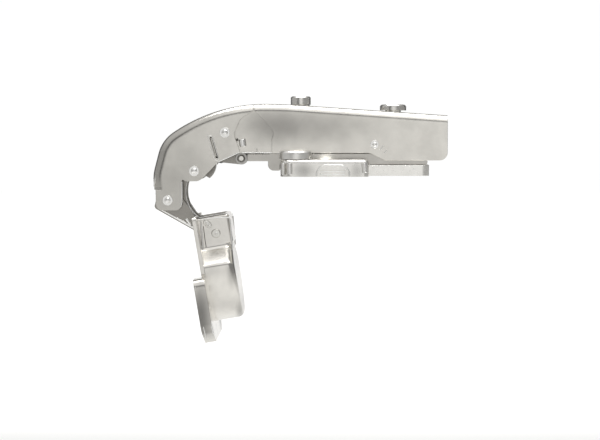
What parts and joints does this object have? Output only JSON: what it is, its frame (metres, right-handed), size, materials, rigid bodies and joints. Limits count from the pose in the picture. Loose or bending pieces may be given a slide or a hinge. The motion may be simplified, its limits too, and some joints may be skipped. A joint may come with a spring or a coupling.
{
  "type": "concealed cup hinge",
  "caption": "Concealed cabinet hinge for an in-line panel: a goose-neck arm on a screwed plate, two links and a cup that swings from hanging open to facing up.",
  "frame": {"origin": "on the panel's face, midway between the two screw holes of the base plate", "axes": "+X to the rear of the arm, +Y across the hinge along its pivots, +Z away from the panel"},
  "size_m": [0.0966, 0.054, 0.0802],
  "materials": {
    "plated_sheet": "nickel-plated, half bright",
    "plated_casting": "nickel-plated casting, soft edges",
    "plated_screw": "bright plated",
    "rivet_steel": "bright",
    "rod_steel": "plain",
    "spring_wire": "plain",
    "damper_shell": "satin",
    "grey_polymer": "matt"
  },
  "bodies": {
    "base": {"base_plate": "plated_casting"},
    "height_cam": {"height_cam": "plated_screw"},
    "rail": {"slide_rail": "plated_sheet"},
    "depth_screw": {"depth_screw": "plated_screw"},
    "arm": {"arm_channel": "plated_sheet", "nose_shell": "plated_sheet", "outer_link_pin": "rivet_steel", "inner_link_pin": "rivet_steel", "rocker_pin": "rivet_steel", "outer_link_washers": "plated_sheet", "inner_link_sleeves": "grey_polymer", "rocker_sleeves": "grey_polymer", "guide_rivets": "rivet_steel", "damper_cylinder": "damper_shell", "spring_block": "grey_polymer", "closing_spring": "spring_wire"},
    "overlay_screw": {"overlay_screw": "plated_screw"},
    "outer_link": {"outer_link": "plated_sheet"},
    "cup": {"cup": "plated_sheet", "cup_outer_pins": "rivet_steel", "cup_inner_pin": "rivet_steel", "cup_outer_washers": "plated_sheet", "cup_inner_washers": "plated_sheet"},
    "inner_link": {"inner_link": "plated_sheet"},
    "rocker": {"spring_rocker": "plated_sheet", "roller_pin": "rivet_steel", "foot_pin": "rivet_steel"},
    "roller": {"rocker_roller": "grey_polymer"},
    "damper_rod": {"damper_rod": "rod_steel"},
    "spring_guide": {"spring_guide": "rod_steel"}
  },
  "joints": [
    {"name": "height_shift", "type": "slide", "parent": "base", "child": "rail", "axis": [0, 1, 0], "range_m": [-0.001, 0.001]},
    {"name": "height_cam_turn", "type": "hinge", "parent": "base", "child": "height_cam", "pos_m": [-0.0101, -0.01835, 0.0055], "axis": [0, 0, 1], "range_deg": [-60, 60]},
    {"name": "depth_screw_turn", "type": "hinge", "parent": "rail", "child": "depth_screw", "pos_m": [0.022, 0, 0.02], "axis": [0, 0, 1], "continuous": true},
    {"name": "depth_slide", "type": "slide", "parent": "rail", "child": "arm", "axis": [1, 0, 0], "range_m": [-0.0028, 0.0028]},
    {"name": "overlay_screw_turn", "type": "hinge", "parent": "arm", "child": "overlay_screw", "pos_m": [-0.00865, 0, 0.02], "axis": [0, 0, 1], "continuous": true},
    {"name": "outer_link_turn", "type": "hinge", "parent": "arm", "child": "outer_link", "pos_m": [-0.0522, 0, -0.0081], "axis": [0, -1, 0], "range_deg": [0, 30.1]},
    {"name": "cup_turn", "type": "hinge", "parent": "outer_link", "child": "cup", "pos_m": [-0.03635, 0, -0.01893], "axis": [0, 1, 0], "range_deg": [0, 129.5]},
    {"name": "inner_link_turn", "type": "hinge", "parent": "arm", "child": "inner_link", "pos_m": [-0.0435, 0, 0.0015], "axis": [0, -1, 0], "range_deg": [0, 46.1]},
    {"name": "rocker_turn", "type": "hinge", "parent": "arm", "child": "rocker", "pos_m": [-0.0334, 0, 0.0141], "axis": [0, 1, 0], "range_deg": [0, 12.2]},
    {"name": "roller_spin", "type": "hinge", "parent": "rocker", "child": "roller", "pos_m": [-0.035, 0, 0.0055], "axis": [0, 1, 0], "continuous": true},
    {"name": "damper_stroke", "type": "slide", "parent": "arm", "child": "damper_rod", "axis": [-0.907, 0, -0.421], "range_m": [0, 0.00212]},
    {"name": "spring_stroke", "type": "slide", "parent": "arm", "child": "spring_guide", "axis": [-0.907, 0, -0.421], "range_m": [0, 0.00212], "deforming": ["closing_spring"]}
  ],
  "couplings": [
    {"joint": "height_cam_turn", "follows": "height_shift", "rad_per_m": 1040},
    {"joint": "outer_link_turn", "follows": "cup_turn", "ratio": 0.23166},
    {"joint": "inner_link_turn", "follows": "cup_turn", "ratio": 0.35521},
    {"joint": "rocker_turn", "follows": "cup_turn", "ratio": 0.09344},
    {"joint": "damper_stroke", "follows": "cup_turn", "m_per_rad": 0.000929},
    {"joint": "spring_stroke", "follows": "cup_turn", "m_per_rad": 0.000929}
  ]
}
